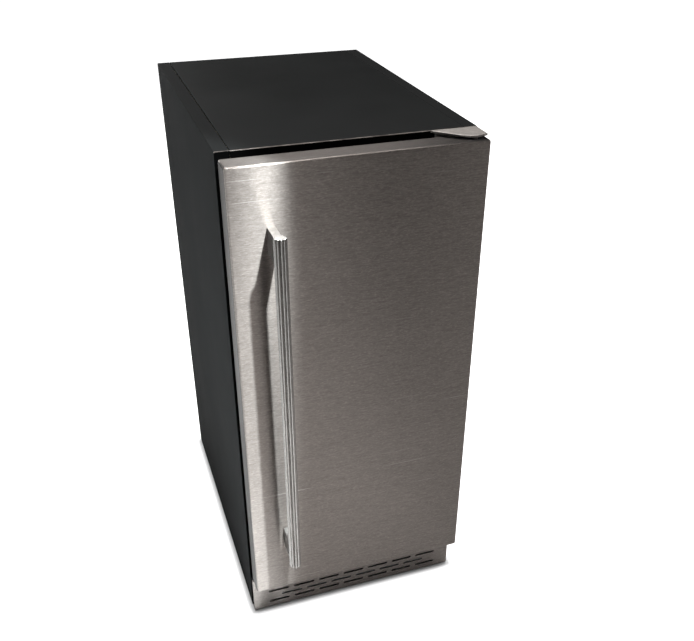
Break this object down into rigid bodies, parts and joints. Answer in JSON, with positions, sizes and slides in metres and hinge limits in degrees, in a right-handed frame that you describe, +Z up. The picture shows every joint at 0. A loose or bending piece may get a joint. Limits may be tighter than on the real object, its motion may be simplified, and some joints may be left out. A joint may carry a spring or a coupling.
{
  "type": "undercounter ice maker",
  "caption": "Narrow undercounter ice maker: black steel cabinet, right-hinged brushed steel door with fluted bar handle, slotted kickplate, ice unit over an insulated bin.",
  "frame": {"origin": "on the floor, under the middle of the machine's overall width and depth, handle included", "axes": "+Z up, -Y out of the door, +X towards the hinge side"},
  "size_m": [0.378, 0.6358, 0.842],
  "materials": {
    "stainless": "satin",
    "black_sheet": "satin",
    "galvanized": "satin",
    "white_plastic": "satin",
    "black_plastic": "satin",
    "grey_plastic": "satin",
    "acetal": "satin",
    "foam": "matte",
    "rubber": "matte",
    "copper": "satin",
    "nickel": "satin",
    "aluminium_fins": "satin",
    "brass": "satin",
    "clear_plastic": "gloss",
    "silicone": "satin",
    "compressor_black": "gloss"
  },
  "bodies": {
    "cabinet": {"left_side_panel": "black_sheet", "right_side_panel": "black_sheet", "top_panel": "black_sheet", "back_panel": "black_sheet", "front_frame": "black_sheet", "base_skirt": "black_sheet", "rear_cover": "black_sheet", "base_pan": "galvanized", "kickplate": "stainless", "inner_liner": "white_plastic", "cabinet_foam": "foam", "bin_drain_fitting": "grey_plastic", "ice_unit_housing": "white_plastic", "evaporator_plate": "nickel", "evaporator_coil": "copper", "water_sump": "white_plastic", "circulation_pump": "black_plastic", "pump_hose": "silicone", "water_distributor": "white_plastic", "ice_chute": "white_plastic", "suction_line": "copper", "hot_gas_line": "copper", "water_fill_tube": "silicone", "scoop_holder": "white_plastic", "bin_level_probe": "copper", "control_panel": "black_plastic", "condenser": "aluminium_fins", "fan_shroud": "black_plastic", "fan_motor": "black_plastic", "compressor": "compressor_black", "discharge_line": "copper", "filter_drier": "copper", "capillary_tube": "copper", "hot_gas_valve": "brass", "water_inlet_valve": "brass", "drain_hose": "silicone", "power_inlet_gland": "black_plastic", "control_board_box": "grey_plastic", "top_hinge_plate": "stainless", "bottom_hinge_plate": "stainless"},
    "door": {"door_skin": "stainless", "door_top_cap": "black_plastic", "door_bottom_cap": "black_plastic", "door_foam": "foam", "door_inner_liner": "white_plastic", "door_gasket": "rubber", "handle_bar": "stainless", "handle_post_top": "stainless", "handle_post_bottom": "stainless"},
    "fan": {"fan_blade": "grey_plastic"},
    "impeller": {"pump_impeller": "acetal"},
    "curtain": {"ice_curtain": "clear_plastic"},
    "float": {"water_float": "acetal"},
    "scoop": {"ice_scoop": "clear_plastic"},
    "power_key": {"power_button": "grey_plastic"},
    "clean_key": {"clean_button": "grey_plastic"},
    "foot_fl": {"levelling_foot_front_left": "black_plastic"},
    "foot_fr": {"levelling_foot_front_right": "black_plastic"},
    "foot_rl": {"levelling_foot_rear_left": "black_plastic"},
    "foot_rr": {"levelling_foot_rear_right": "black_plastic"}
  },
  "joints": [
    {"name": "door_hinge", "type": "hinge", "parent": "cabinet", "child": "door", "pos_m": [0.17, -0.24413, 0.46], "axis": [0, 0, 1], "range_deg": [0, 115]},
    {"name": "curtain_swing", "type": "hinge", "parent": "cabinet", "child": "curtain", "pos_m": [0, 0.085, 0.742], "axis": [-1, 0, 0], "range_deg": [0, 50]},
    {"name": "fan_spin", "type": "hinge", "parent": "cabinet", "child": "fan", "pos_m": [0, -0.1131, 0.12], "axis": [0, 1, 0], "continuous": true},
    {"name": "impeller_spin", "type": "hinge", "parent": "cabinet", "child": "impeller", "pos_m": [0.045, 0.17, 0.49], "axis": [0, 0, 1], "continuous": true},
    {"name": "float_rise", "type": "slide", "parent": "cabinet", "child": "float", "axis": [0, 0, 1], "range_m": [0, 0.03]},
    {"name": "scoop_lift", "type": "slide", "parent": "cabinet", "child": "scoop", "axis": [0, 0, 1], "range_m": [0, 0.12]},
    {"name": "power_press", "type": "slide", "parent": "cabinet", "child": "power_key", "axis": [0, 1, 0], "range_m": [0, 0.002], "stiffness_N_per_m": 300},
    {"name": "clean_press", "type": "slide", "parent": "cabinet", "child": "clean_key", "axis": [0, 1, 0], "range_m": [0, 0.002], "stiffness_N_per_m": 300},
    {"name": "foot_fl_screw", "type": "slide", "parent": "cabinet", "child": "foot_fl", "axis": [0, 0, -1], "range_m": [0, 0.015]},
    {"name": "foot_fr_screw", "type": "slide", "parent": "cabinet", "child": "foot_fr", "axis": [0, 0, -1], "range_m": [0, 0.015]},
    {"name": "foot_rl_screw", "type": "slide", "parent": "cabinet", "child": "foot_rl", "axis": [0, 0, -1], "range_m": [0, 0.015]},
    {"name": "foot_rr_screw", "type": "slide", "parent": "cabinet", "child": "foot_rr", "axis": [0, 0, -1], "range_m": [0, 0.015]}
  ]
}
